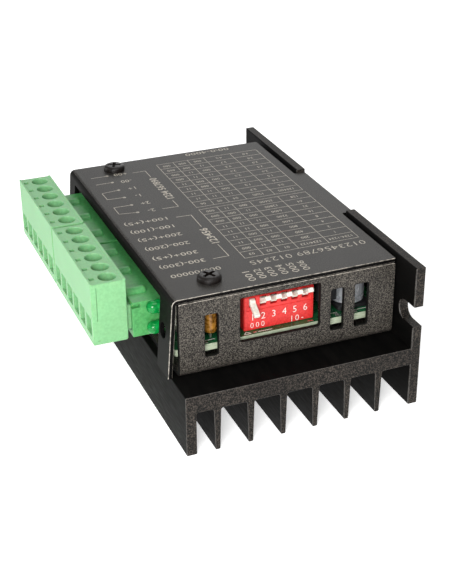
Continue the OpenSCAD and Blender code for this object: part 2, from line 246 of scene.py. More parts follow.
def carve(mesh, tools, operation="DIFFERENCE"):
    """The mesh with each tool taken away from it, or joined to it, in turn."""
    scene = bpy.context.scene.collection.objects
    base = bpy.data.objects.new("base", mesh)
    scene.link(base)
    helpers = [base]
    for tool in tools:
        helper = bpy.data.objects.new("tool", tool)
        scene.link(helper)
        change = base.modifiers.new("carve", "BOOLEAN")
        change.operation, change.solver, change.object = operation, "EXACT", helper
        helpers.append(helper)
    graph = bpy.context.evaluated_depsgraph_get()
    result = bpy.data.meshes.new_from_object(base.evaluated_get(graph))
    for helper in helpers:
        bpy.data.objects.remove(helper)
    return result


def rounded(points, steps=4):
    """An outline's points, with an arc at each (u, v, radius) whose radius isn't 0."""
    line = []
    for k, (u, v, radius) in enumerate(points):
        here = Vector((u, v))
        if not radius:
            line.append(tuple(here))
            continue
        back = (Vector(points[k - 1][:2]) - here).normalized()
        ahead = (Vector(points[(k + 1) % len(points)][:2]) - here).normalized()
        half = back.angle(ahead) / 2
        centre = here + (back + ahead).normalized() * radius / math.sin(half)
        first = here + back * radius / math.tan(half) - centre
        turn = first.angle_signed(here + ahead * radius / math.tan(half) - centre)
        for step in range(steps + 1):
            arm = first.copy()
            arm.rotate(Matrix.Rotation(-turn * step / steps, 2))
            line.append(tuple(centre + arm))
    return line


def window(u0, u1, v0, v1, radius=0.5):
    """A rectangle with rounded corners."""
    return rounded([(u0, v0, radius), (u1, v0, radius), (u1, v1, radius), (u0, v1, radius)])


def ring(u, v, radius, sides=32):
    """A circle's points."""
    turns = [2 * math.pi * k / sides for k in range(sides)]
    return [(u + radius * math.cos(t), v + radius * math.sin(t)) for t in turns]


def plate(loops, depth, edge=0.12, steps=0):
    """A flat plate of that depth round w = 0, from an outline and its holes, with eased edges.

    Its flat faces have material 0, its cut sides 1 and its eased edges 2.
    """
    curve = bpy.data.curves.new("outline", "CURVE")
    curve.dimensions, curve.fill_mode = "2D", "BOTH"
    curve.extrude, curve.bevel_depth = depth / 2 - edge, edge
    curve.bevel_resolution, curve.offset = steps, -edge
    for loop in loops:
        line = curve.splines.new("POLY")
        line.points.add(len(loop) - 1)
        for point, (u, v) in zip(line.points, loop):
            point.co = (u, v, 0, 1)
        line.use_cyclic_u = True
    shape = bpy.data.objects.new("outline", curve)
    mesh = bpy.data.meshes.new_from_object(shape)
    bpy.data.objects.remove(shape)
    bpy.data.curves.remove(curve)
    bm = bmesh.new()
    bm.from_mesh(mesh)
    bmesh.ops.remove_doubles(bm, verts=bm.verts, dist=1e-4)
    bm.normal_update()
    for face in bm.faces:
        lean = abs(face.normal.z)
        face.material_index = 0 if lean > 0.99 else 1 if lean < 0.1 else 2
    return mesh_of(bm)


def block(low, high, edge=0.15, steps=1):
    """A box with eased edges, from its lowest and highest corners."""
    low, high = Vector(low), Vector(high)
    bm = bmesh.new()
    bmesh.ops.create_cube(bm, size=1)
    for vert in bm.verts:
        vert.co = (low + high) / 2 + (high - low) * vert.co
    if edge:
        bmesh.ops.bevel(bm, geom=bm.edges[:], offset=edge, segments=steps, profile=0.5, affect="EDGES")
    return mesh_of(bm)


def lathe(profile, sides=32):
    """A turned solid, from (radius, height) pairs whose first and last are on the axis."""
    bm = bmesh.new()
    rings = []
    for radius, height in profile:
        count = sides if radius else 1
        turns = [2 * math.pi * k / sides for k in range(count)]
        rings.append([bm.verts.new((radius * math.cos(t), radius * math.sin(t), height)) for t in turns])
    for lower, upper in zip(rings, rings[1:]):
        for k in range(sides):
            after = (k + 1) % sides
            corners = [lower[k % len(lower)], lower[after % len(lower)],
                       upper[after % len(upper)], upper[k % len(upper)]]
            bm.faces.new(list(dict.fromkeys(corners)))
    return mesh_of(bm)


def point_along(start, heading, parts, distance):
    """Point and heading on a line of straights (length, 0) and bends (length, turn)."""
    a, b = start
    for length, turn in parts:
        step = min(distance, length)
        if turn:
            radius = length / turn
            after = heading + step / radius
            a += radius * (math.sin(after) - math.sin(heading))
            b += radius * (math.cos(heading) - math.cos(after))
            heading = after
        else:
            a += step * math.cos(heading)
            b += step * math.sin(heading)
        distance -= step
        if distance <= 0:
            break
    return a, b, heading


def folded(mesh, start, heading, parts, place):
    """A flat plate bent so that its v follows the line. place(u, a, b) gives a point in space."""
    bm = bmesh.new()
    bm.from_mesh(mesh)
    reached = 0
    bend_cuts = 8
    for length, turn in parts:
        for k in range(bend_cuts + 1) if turn else ():
            bmesh.ops.bisect_plane(bm, geom=bm.verts[:] + bm.edges[:] + bm.faces[:], dist=1e-5,
                                   plane_co=(0, reached + length * k / bend_cuts, 0), plane_no=(0, 1, 0))
        reached += length
    for vert in bm.verts:
        u, v, w = vert.co
        a, b, turned = point_along(start, heading, parts, v)
        vert.co = place(u, a - w * math.sin(turned), b + w * math.cos(turned))
    return mesh_of(bm)


def zoned(mesh, rule):
    """The mesh with each face's material number chosen by rule(face)."""
    for face in mesh.polygons:
        face.material_index = rule(face)
    return mesh


def piece(name, mesh, body, materials, replaces=()):
    """Puts a mesh made in millimetres into the frame as a named piece that rides on a body."""
    numbers = [face.material_index for face in mesh.polygons]
    mesh.materials.clear()
    for material in materials:
        mesh.materials.append(material)
    mesh.polygons.foreach_set("material_index", [min(n, len(materials) - 1) for n in numbers])
    mesh.shade_smooth()
    mesh.set_sharp_from_angle(angle=math.radians(20))
    mesh.transform(TO_FRAME)
    mesh.name = name
    item = bpy.data.objects.new(name, mesh)
    bpy.context.scene.collection.objects.link(item)
    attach(item, body)
    if replaces:
        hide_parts(*replaces)
    return item


# ---------- heatsink ----------

sink_high = span("heatsink")[1]
SINK_L = sink_high.y
BASE_TOP = span("chassis")[0].z
BASE_BOTTOM = BASE_TOP - 4.2
WALL_T = 2.4
WALL_X = sink_high.x - WALL_T
COVER_TOP = span("cover")[1].z
SHEET_T = 1.0
NOTCH_Y = (34.0, 62.0)
SLOT_R = 2.5
SLOT_Z = 22.6
SLOT_END = 4.0
CHASSIS_SCREWS = [(x, y) for x in (10, 46) for y in (30, 72)]


def comb_outline():
    """The base plate and its fins, seen from the front. The base runs on into the side wall."""
    first_fin, fin_pitch, fins = 7.25, 7.75, 6
    root, tip, fillet, nose = 0.85, 0.55, 0.5, 0.3
    points = [(0, BASE_TOP, 0.3), (0, 0, nose), (WALL_T, 0, nose), (WALL_T, BASE_BOTTOM, fillet)]
    for k in range(fins):
        x = first_fin + k * fin_pitch
        points += [(x - root, BASE_BOTTOM, fillet), (x - tip, 0, nose), (x + tip, 0, nose),
                   (x + root, BASE_BOTTOM, fillet)]
    inside_wall = WALL_X + WALL_T / 2
    return points + [(inside_wall, BASE_BOTTOM, 0), (inside_wall, BASE_TOP, 0)]


def wall_outline():
    """The side wall with its notch and its two open-ended slots, in Y and Z."""
    high, floor = sink_high.z, COVER_TOP - SHEET_T
    points = [(0, 0), (SINK_L, 0)]
    for y, outward in ((SINK_L - SLOT_END, 1), (SLOT_END, -1)):
        turns = [math.radians(-90 + 15 * k) for k in range(13)]
        mouth = SINK_L if outward > 0 else 0
        bow = [(y - outward * SLOT_R * math.cos(t), SLOT_Z + outward * SLOT_R * math.sin(t)) for t in turns]
        ends = [(mouth, SLOT_Z - outward * SLOT_R), (mouth, SLOT_Z + outward * SLOT_R)]
        top = [(SINK_L, high), (NOTCH_Y[1], high), (NOTCH_Y[1], floor), (NOTCH_Y[0], floor),
               (NOTCH_Y[0], high), (0, high)] if outward > 0 else []
        points += [ends[0], *bow, ends[1], *top]
    return points


def heatsink():
    """The extrusion: brushed sides, sawn ends and wall faces, and lighter eased edges at the ends."""
    comb = plate([rounded(comb_outline(), 3)], SINK_L, 0.1)
    comb = moved(comb, axes((0, SINK_L / 2, 0), ALONG_X, ALONG_Z))
    wall = plate([wall_outline()], WALL_T, 0.22, 1)
    wall = moved(wall, axes((WALL_X + WALL_T / 2, 0, 0), ALONG_Y, ALONG_Z))
    screw_holes = [moved(lathe([(0, 0), (1.5, 0), (1.5, 5), (0, 5)]),
                         Matrix.Translation((x, y, BASE_BOTTOM + 0.6)))
                   for x, y in CHASSIS_SCREWS]
    whole = carve(carve(comb, [wall], "UNION"), [joined(screw_holes)])

    def zone(face):
        middle, normal = face.center, face.normal
        if abs(normal.y) > 0.95:
            return 1
        on_wall = middle.x > WALL_X - 0.1 and abs(normal.x) < 0.1 and middle.z > BASE_TOP
        return 1 if on_wall else 2 if 0.3 < abs(normal.y) else 0

    piece("heatsink_extrusion", zoned(whole, zone), "housing",
          [ANODISED, ANODISED_CUT, ANODISED_EDGE], ["heatsink"])


heatsink()


# ---------- housing ----------

PANEL_Y = span("chassis")[0].y
REAR_Y = span("chassis")[1].y
PANEL_LEFT, PANEL_RIGHT = span("chassis")[0].x, span("chassis")[1].x
PANEL_TOP = 32.8
BEND_MID = 1.5
OUTER_R = BEND_MID + SHEET_T / 2
COVER_BEND_MID = 0.9
COVER_OUTER_R = COVER_BEND_MID + SHEET_T / 2
COVER_SCREWS = ((11.2, 14.2), (11.2, 82.6))
CUTOUT_Y = (15.1, 81.9)
CUTOUT_TOP = 31.6
SPARE_HOLE = (12.5, 24.9)      # its middle in the flange, in Y and Z
FRONT_WINDOWS = ((7.6, 10.7, 19.0, 29.1), (15.8, 34.8, 20.8, 31.5), (37.5, 40.6, 19.0, 29.2),
                 (43.4, 46.7, 18.8, 29.3))


def chassis():
    """One sheet bent up at both ends, with two tabs for the cover's screws. Only its top edge gets a light
    colour, a painted highlight.
    """
    quarter = math.pi / 2
    upright = PANEL_TOP - BASE_TOP - OUTER_R
    floor = REAR_Y - PANEL_Y - 2 * OUTER_R
    bend = BEND_MID * quarter
    parts = [(upright, 0), (bend, quarter), (floor, 0), (bend, quarter), (upright, 0)]
    length = sum(part[0] for part in parts)
    loops = [window(PANEL_LEFT, PANEL_RIGHT, 0, length, 0.6)]
    loops += [window(x0, x1, PANEL_TOP - z1, PANEL_TOP - z0, 0.45) for x0, x1, z0, z1 in FRONT_WINDOWS]
    floor_start = upright + bend - PANEL_Y - OUTER_R
    loops += [ring(x, y + floor_start, 1.6) for x, y in CHASSIS_SCREWS]
    sheet = folded(plate(loops, SHEET_T, 0.12), (PANEL_Y + SHEET_T / 2, PANEL_TOP), -quarter, parts,
                   lambda u, a, b: (u, a, b))
    tab_top = COVER_TOP - SHEET_T
    tabs = [block((6.6, y0, tab_top - SHEET_T), (15.8, y1, tab_top), 0.1)
            for y0, y1 in ((PANEL_Y + 0.2, 18.2), (78.6, REAR_Y - 0.2))]
    sheet = carve(sheet, [joined(tabs)], "UNION")
    # Eased edges keep the painted highlight colour only along the front panel's top edge; the others take the
    # dark rim colour.
    for face in sheet.polygons:
        if face.material_index == 2 and (face.center.z < PANEL_TOP - 0.3 or face.center.y > PANEL_Y + 0.5):
            face.material_index = 1
    piece("chassis_sheet", sheet, "housing", [PANEL_COAT, PANEL_RIM, PAINTED_EDGE_HIGHLIGHT],
          ["chassis"])


def cover():
    """The top plate from its tab in the wall's notch to the bend, and the leaning flange on the left."""
    lean = math.radians(4.5)
    turn = math.pi / 2 - lean
    tab_end = span("cover")[1].x
    bend_x = 0.3 + COVER_OUTER_R
    top_l, bend_l = tab_end - bend_x, COVER_BEND_MID * turn
    flange_top = COVER_TOP - COVER_OUTER_R + COVER_BEND_MID * math.sin(lean)
    flange_l = (COVER_TOP - COVER_OUTER_R - span("cover")[0].z) / math.cos(lean)
    edge_v = tab_end - PANEL_RIGHT
    end_v = top_l + bend_l + flange_l

    def down(z):
        """Distance along the sheet to height z on the flange."""
        return top_l + bend_l + (flange_top - z) / math.cos(lean)

    corner, relief = 0.5, 0.35
    front, rear = PANEL_Y, REAR_Y
    outline = rounded([
        (NOTCH_Y[0] + 0.3, 0, corner), (NOTCH_Y[1] - 0.3, 0, corner), (NOTCH_Y[1] - 0.3, edge_v, relief),
        (rear, edge_v, corner), (rear, end_v, corner),
        (CUTOUT_Y[1], end_v, corner), (CUTOUT_Y[1], down(CUTOUT_TOP), relief),
        (CUTOUT_Y[0], down(CUTOUT_TOP), relief), (CUTOUT_Y[0], end_v, corner),
        (front, end_v, corner), (front, edge_v, corner), (NOTCH_Y[0] + 0.3, edge_v, relief)])
    holes = [ring(y, tab_end - x, 1.7) for x, y in COVER_SCREWS]
    holes.append(ring(SPARE_HOLE[0], down(SPARE_HOLE[1]), 1.75))
    sheet = folded(plate([outline, *holes], SHEET_T, 0.13, 0), (tab_end, COVER_TOP - SHEET_T / 2), math.pi,
                   [(top_l, 0), (bend_l, turn), (flange_l + 1, 0)], lambda u, a, b: (a, u, b))
    # Eased edges at the front keep the painted highlight colour; the others take the dark rim colour.
    for face in sheet.polygons:
        if face.material_index == 2 and face.center.y > PANEL_Y + 0.5:
            face.material_index = 1
        # The flange's outer face takes the darker copy of the coat, a painted shade.
        elif face.material_index == 0 and face.normal.x < -0.5:
            face.material_index = 3
    piece("cover_sheet", sheet, "housing",
          [COVER_COAT, COVER_RIM, PAINTED_EDGE_HIGHLIGHT, FLANGE_PAINTED_SHADE], ["cover"])


def pan_head(radius, height, shank_r, shank_l):
    """A pan-head screw with a cross recess and a ringed shank, standing on its head's underside."""
    pitch = 0.5
    thread = []
    for k in range(int(shank_l / pitch)):
        z = -shank_l + k * pitch
        thread += [(shank_r - 0.2, z + 0.1), (shank_r, z + 0.3)]
    rises = [math.radians(a) for a in (0, 20, 40, 60, 80)]
    dome = [(radius - 1.1 * (1 - math.cos(a)), height * (0.4 + 0.42 * math.sin(a))) for a in rises]
    screw = lathe([(0, -shank_l), *thread, (shank_r, 0), (radius - 0.1, 0), (radius, 0.1), *dome,
                   (0, height * 0.86)])
    arm_l, arm_w = radius * 0.62, radius * 0.15
    arms = [block((-arm_l, -arm_w, height * 0.3), (arm_l, arm_w, height + 1), 0.05),
            block((-arm_w, -arm_l, height * 0.3), (arm_w, arm_l, height + 1), 0.05)]
    return carve(screw, arms)


def cover_screws():
    low, high = span("cover_screws")
    head_r = 2.7
    made = [moved(pan_head(head_r, high.z - COVER_TOP, 1.45, COVER_TOP - low.z),
                  Matrix.Translation((x, y, COVER_TOP)) @ Matrix.Rotation(turn, 4, "Z"))
            for (x, y), turn in zip(COVER_SCREWS, (0.5, 1.2))]
    piece("cover_screw_pair", joined(made), "housing", [BLACK_STEEL], ["cover_screws"])


chassis()
cover()
cover_screws()


# ---------- print on the cover ----------

INK_T = 0.012
DIGIT_RISE = 0.7      # a digit's height as a share of the font size


def written(text, height, at, turn, bold=0.0, width=None):
    """Digits and signs as a thin mesh, with their middle at a point and their foot turned by turn."""
    curve = bpy.data.curves.new("text", "FONT")
    curve.body, curve.size = text, height / DIGIT_RISE
    curve.extrude, curve.offset, curve.resolution_u = INK_T / 2, bold, 2
    curve.align_x, curve.align_y = "CENTER", "CENTER"
    shape = bpy.data.objects.new("text", curve)
    mesh = bpy.data.meshes.new_from_object(shape)
    bpy.data.objects.remove(shape)
    bpy.data.curves.remove(curve)
    bm = bmesh.new()
    bm.from_mesh(mesh)
    bmesh.ops.remove_doubles(bm, verts=bm.verts, dist=1e-5)
    if width:
        reach = [vert.co.x for vert in bm.verts]
        bmesh.ops.scale(bm, vec=(width / (max(reach) - min(reach)), 1, 1), verts=bm.verts)
    return moved(mesh_of(bm), Matrix.Translation(at) @ Matrix.Rotation(turn, 4, "Z"))


def stroke(start, end, width=0.17):
    """A thin straight bar of ink between two points on the cover."""
    start, end = Vector(start), Vector(end)
    along = (end - start).normalized() * width / 2
    side = Vector((-along.y, along.x))
    corners = [start - along - side, end + along - side, end + along + side, start - along + side]
    bm = bmesh.new()
    foot, top = [[bm.verts.new((p.x, p.y, z)) for p in corners] for z in (0, INK_T)]
    bm.faces.new(foot[::-1])
    bm.faces.new(top)
    for k in range(4):
        after = (k + 1) % 4
        bm.faces.new((foot[k], foot[after], top[after], top[k]))
    return mesh_of(bm)


def dot(x, y, radius=0.42):
    return moved(lathe([(0, 0), (radius, 0), (radius, INK_T), (0, INK_T)], 12), Matrix.Translation((x, y, 0)))


def cover_text(text, height, x, y, turn=180, bold=0.0, width=None):
    return written(text, height, (x, y, INK_T / 2), math.radians(turn), bold, width)


def table(y_low, y_high, rows):
    """A ruled table of digits, nine rows deep, whose first row is at the front."""
    x_edges = (50.7, 43.1, 35.5, 30.9, 26.9, 22.3)
    pitch = (y_high - y_low) / len(rows)
    made = [stroke((x_edges[-1], y_low + k * pitch), (x_edges[0], y_low + k * pitch), 0.13)
            for k in range(len(rows) + 1)]
    made += [stroke((x, y_low), (x, y_high), 0.13) for x in x_edges]
    for k, row in enumerate(rows):
        for x0, x1, text in zip(x_edges, x_edges[1:], row):
            made.append(cover_text(text, 1.0, (x0 + x1) / 2, y_low + (k + 0.5) * pitch))
    return made


def bits(value):
    """A three-digit setting, each digit drawn as a block of three or two."""
    return ["11" if value >> k & 1 else "000" for k in range(3)]


def cover_print():
    step_rows = [["1234-1234", "1234/123", "01", "02", "03"]]
    step_rows += [[str(2 ** k), str(200 * 2 ** k), *bits(k + 3)] for k in range(8)]
    level_rows = [["1234(0)", "12(0)", "04", "05", "06"]]
    level_rows += [[f"{0.5 * k + 0.5:.1f}", f"{0.5 * k + 0.7:.1f}", *bits(7 - k)] for k in range(8)]
    made = table(20.8, 49.7, step_rows) + table(51.2, 81.2, level_rows)
    made.append(cover_text("0123456789 012345", 2.0, 36.6, 18.2, bold=-0.035, width=28.4))
    for k in range(6):
        made.append(cover_text(f"00{k + 1}", 1.7, 19.9 + 2.6 * k, 12.6, turn=90, bold=-0.01, width=4.6))
    labels = ((48.3, "100+(+5)"), (43.5, "100-(100)"), (38.7, "200+(+5)"), (33.6, "200-(200)"),
              (28.3, "300+(+5)"), (23.7, "300-(300)"))
    made += [cover_text(text, 1.6, 8.5, y, width=10.6) for y, text in labels]
    made.append(cover_text("000/00000", 1.6, 9.8, 18.7, width=11.6))
    coils = (((8.1, 69.0), (3.6, 68.5), (3.7, 64.3), (8.0, 64.0)),
             ((8.2, 58.9), (3.7, 59.0), (3.7, 54.8), (8.2, 54.1)))
    for coil in coils:
        made += [stroke(p, q) for p, q in zip(coil, coil[1:])]
        made += [dot(*coil[0]), dot(*coil[-1])]
    for y in (74.4, 79.0):
        made += [stroke((3.9, y), (8.1, y)), dot(8.1, y)]
    for y, text in ((79.0, "+00"), (74.0, "-00"), (69.0, "1+"), (64.0, "1-"), (58.9, "2+"), (54.1, "2-")):
        made.append(cover_text(text, 1.6, 11.7, y))
    groups = (((14.9, 78.5), (18.3, 78.5), (18.3, 74.0)), ((18.4, 57.5), (18.5, 53.6), (14.5, 53.8)),
              ((15.8, 47.8), (19.5, 47.6), (19.4, 40.5)), ((19.4, 29.9), (19.5, 23.4), (15.8, 23.4)))
    for line in groups:
        made += [stroke(p, q) for p, q in zip(line, line[1:])]
    made.append(cover_text("1234 567890", 1.9, 18.5, 65.8, turn=90, bold=0.04, width=14.2))
    made.append(cover_text("123456", 1.9, 19.4, 34.8, turn=90, bold=0.04, width=8.6))
    made.append(cover_text("00:0-4000", 1.6, 38.0, 85.0, width=12.4))
    whole = moved(joined(made), Matrix.Translation((0, 0, COVER_TOP + 0.002)))
    piece("cover_print", whole, "housing", [INK])


cover_print()


# ---------- circuit board ----------

BOARD_TOP = span("circuit_board")[1].z
SWITCH_PIN_Y = (12.3, 19.9)
BOARD_SCREWS = ((13, 20), (48.5, 24), (13, 81), (48.5, 81))


def lever_x(i):
    low, high = span(f"switch_lever_{i}")
    return (low.x + high.x) / 2


def pole_y(side, i):
    low, high = span(f"{side}_screw_{i}")
    return (low.y + high.y) / 2


def circuit_board():
    low, high = span("circuit_board")
    thickness = high.z - low.z
    holes = [ring(x, y, 1.6) for x, y in BOARD_SCREWS]
    holes += [ring(5.3, pole_y(side, i), 0.8, 16) for side in SIDES for i in POLES]
    holes += [ring(lever_x(i), y, 0.45, 12) for i in POLES for y in SWITCH_PIN_Y]
    sheet = plate([window(low.x, high.x, low.y, high.y, 0.8), *holes], thickness, 0.05)
    sheet = moved(sheet, Matrix.Translation((0, 0, (low.z + high.z) / 2)))
    piece("board_laminate", sheet, "housing", [BOARD_GREEN, BOARD_EDGE, BOARD_EDGE],
          ["circuit_board"])


def board_pads():
    """Tinned rings round the pins, and printed lines by the front edge."""
    rings = [(lever_x(i), y, 0.85, 0.45) for i in POLES for y in SWITCH_PIN_Y]
    rings += [(x, y, 2.9, 1.62) for x, y in BOARD_SCREWS]
    pads = [moved(plate([ring(x, y, outer, 24), ring(x, y, inner, 24)], 0.06, 0.02),
                  Matrix.Translation((0, 0, BOARD_TOP + 0.03))) for x, y, outer, inner in rings]
    flats = [(38.0, 10.2, 1.5, 1.0), (40.3, 10.4, 0.9, 1.4), (44.4, 10.2, 1.6, 1.0), (8.4, 10.1, 1.2, 0.8),
             (36.2, 17.5, 1.2, 0.8), (41.6, 18.6, 0.8, 1.3), (20.2, 10.0, 0.8, 0.5), (33.6, 10.0, 1.4, 0.5)]
    pads += [block((x - w / 2, y - d / 2, BOARD_TOP), (x + w / 2, y + d / 2, BOARD_TOP + 0.12), 0.04)
             for x, y, w, d in flats]
    piece("board_pads", joined(pads), "housing", [TINNED])
    lines = [((19.2, 9.9), (17.6, 9.9)), ((17.6, 9.9), (18.4, 10.9)), ((18.4, 10.9), (19.2, 9.9)),
             ((21.0, 10.1), (24.2, 10.1)), ((36.4, 11.4), (40.8, 11.4)), ((43.0, 10.9), (48.0, 10.9)),
             ((7.2, 10.9), (11.0, 10.9))]
    marks = joined([stroke(p, q, 0.18) for p, q in lines])
    marks = moved(marks, Matrix.Translation((0, 0, BOARD_TOP + 0.002)))
    piece("board_marks", marks, "housing", [SWITCH_PRINT])


def electrolytic():
    """A can with a pinched foot, on its black base."""
    low, high = span("electrolytic_capacitor")
    x, y = (low.x + high.x) / 2, (low.y + high.y) / 2
    radius, foot = 4.0, 1.0
    height = high.z - low.z
    can = lathe([(0, foot), (radius - 0.5, foot), (radius - 0.1, foot + 0.3), (radius - 0.1, foot + 1.0),
                 (radius - 0.4, foot + 1.3), (radius - 0.4, foot + 1.6), (radius, foot + 2.0),
                 (radius, height - 0.5), (radius - 0.15, height - 0.15), (radius - 0.5, height),
                 (0, height)], 40)
    base = plate([window(-4.1, 4.1, -4.1, 4.1, 0.9)], foot, 0.1)
    base = zoned(moved(base, Matrix.Translation((0, 0, foot / 2))), lambda face: 1)
    seat = Matrix.Translation((x, y, low.z))
    piece("electrolytic_can", moved(joined([can, base]), seat), "housing",
          [CAN, CHIP_BLACK], ["electrolytic_capacitor"])


def film_capacitor():
    """A dipped brown bead on its leg."""
    low, high = span("film_capacitor")
    x, y, height = (low.x + high.x) / 2, (low.y + high.y) / 2, high.z - low.z
    bead = lathe([(0, 1.2), (0.9, 1.25), (1.35, 1.6), (1.5, 2.2), (1.42, 3.2), (1.42, height - 1.8),
                  (1.5, height - 1.2), (1.35, height - 0.4), (0.9, height - 0.05), (0, height)], 32)
    leg = zoned(lathe([(0, 0), (0.35, 0), (0.35, 1.3), (0, 1.3)], 16), lambda face: 1)
    piece("film_bead", moved(joined([bead, leg]), Matrix.Translation((x, y, low.z))), "housing",
          [BROWN, TINNED], ["film_capacitor"])


def regulator():
    """A small three-legged case with a flat front and a chamfered back."""
    low, high = span("voltage_regulator")
    x, y = (low.x + high.x) / 2, (low.y + high.y) / 2
    outline = rounded([(-2.3, -1.6, 0.3), (2.3, -1.6, 0.3), (2.3, 0.2, 0.6), (1.2, 1.6, 0.6),
                       (-1.2, 1.6, 0.6), (-2.3, 0.2, 0.6)])
    body = moved(plate([outline], 4.8, 0.15), Matrix.Translation((0, 0, 5.4)))
    legs = [block((dx - 0.25, -0.25, 0), (dx + 0.25, 0.25, 3.2), 0.05) for dx in (-1.27, 0, 1.27)]
    legs = zoned(joined(legs), lambda face: 1)
    body = zoned(body, lambda face: 0)
    piece("regulator_body", moved(joined([body, legs]), Matrix.Translation((x, y, low.z))), "housing",
          [CHIP_BLACK, TINNED], ["voltage_regulator"])


circuit_board()
board_pads()
electrolytic()
film_capacitor()
regulator()


# ---------- LEDs ----------

def led(node, bend_x):
    """An LED lying along X with its dome to the left, and legs that bend down to the board."""
    low, high = span(node)
    y = (low.y + high.y) / 2
    z = high.z - (high.y - low.y) / 2
    radius, flange = 1.5, (high.y - low.y) / 2
    rises = [math.radians(a) for a in (15, 30, 45, 60, 75)]
    dome = [(radius * math.sin(a), -radius * math.cos(a)) for a in rises]
    lens = lathe([(0, -radius), *dome, (radius, 0), (radius, 0.85), (flange, 0.92), (flange, 1.52),
                  (flange - 0.08, 1.6), (0, 1.6)], 40)
    middle = low.x + radius
    lens = moved(lens, Matrix.Translation((middle, y, z)) @ Matrix.Rotation(math.pi / 2, 4, "Y"))
    half, ease = 0.25, 0.08
    end = bend_x + half
    legs = []
    for leg_y in (y - 0.6, y + 0.6):
        legs.append(block((middle + 1.5, leg_y - half, z - half), (end, leg_y + half, z + half), ease))
        legs.append(block((bend_x - half, leg_y - half, BOARD_TOP), (end, leg_y + half, z - 0.1), ease))
    legs = zoned(joined(legs), lambda face: 1)
    piece(f"{node}_lens", joined([lens, legs]), "housing", [LED_GREEN, TINNED], [node])


led("power_led", 4.4)
led("alarm_led", 2.8)


# ---------- piano switch ----------

def switch_shell():
    """The case, with a recessed face, a slot for each lever, and a pit above each."""
    low, high = span("switch_body")
    step_z, recess = 26.0, 0.18
    slot_z = (26.75, 29.15)
    body = block(low, high, 0.18)
    face_recess = block((low.x + 0.7, low.y - 1, step_z), (high.x - 0.7, low.y + recess, high.z - 0.25), 0.05)
    slots, pits = [], []
    for i in POLES:
        x = lever_x(i)
        slots.append(block((x - 0.8, low.y - 1, slot_z[0]), (x + 0.8, low.y + 2.4, slot_z[1]), 0.08))
        pits.append(block((x - 0.65, low.y + 3.4, high.z - 0.3), (x + 0.65, low.y + 6.2, high.z + 1), 0.05))
    body = carve(body, [face_recess, joined(slots), joined(pits)])
    piece("switch_case", body, "housing", [SWITCH_RED], ["switch_body"])


def switch_print():
    """Digits 1 to 6 under the levers, and two small generic marks below them."""
    face_y = span("switch_body")[0].y
    marks = [(str(i), 1.65, lever_x(i), 24.3) for i in POLES]
    marks += [("0", 1.3, x, 22.3) for x in (19.9, 21.2, 22.5)]
    marks += [("1", 1.5, 29.5, 22.0), ("0", 1.5, 30.8, 22.0), ("-", 1.5, 32.1, 22.0)]
    made = []
    for text, height, x, z in marks:
        flat = written(text, height, (0, 0, 0), 0, -0.02)
        made.append(moved(flat, axes((x, face_y - INK_T, z), ALONG_X, ALONG_Z)))
    piece("switch_print", joined(made), "housing", [SWITCH_PRINT])


def levers():
    """Each lever is a bar with a round root, turned about its pivot. The first is down, the rest are up."""
    pivot_y, pivot_z = 11.6, 28.0
    length, half_w, half_h, root_r = 3.9, 0.66, 0.5, 0.75
    lowered, raised = 33, -31
    for i in POLES:
        turn = math.radians(lowered if i == 1 else raised)
        bar = block((-half_w, -length, -half_h), (half_w, 0, half_h), 0.15)
        root = lathe([(0, -half_w), (root_r - 0.08, -half_w), (root_r, 0.08 - half_w),
                      (root_r, half_w - 0.08), (root_r - 0.08, half_w), (0, half_w)], 24)
        root = moved(root, Matrix.Rotation(math.pi / 2, 4, "Y"))
        whole = carve(bar, [root], "UNION")
        seat = Matrix.Translation((lever_x(i), pivot_y, pivot_z)) @ Matrix.Rotation(turn, 4, "X")
        piece(f"switch_lever_{i}_paddle", moved(whole, seat), f"switch_lever_{i}",
              [LEVER_WHITE], [f"switch_lever_{i}"])


switch_shell()
switch_print()
levers()


# ---------- terminals ----------

SCREW_X = -9.6
LEDGE_TOP = 30.8


def row_of(shape, side):
    """The same shape at each pole of a plug or header."""
    return joined([moved(shape(), Matrix.Translation((0, pole_y(side, i), 0))) for i in POLES])


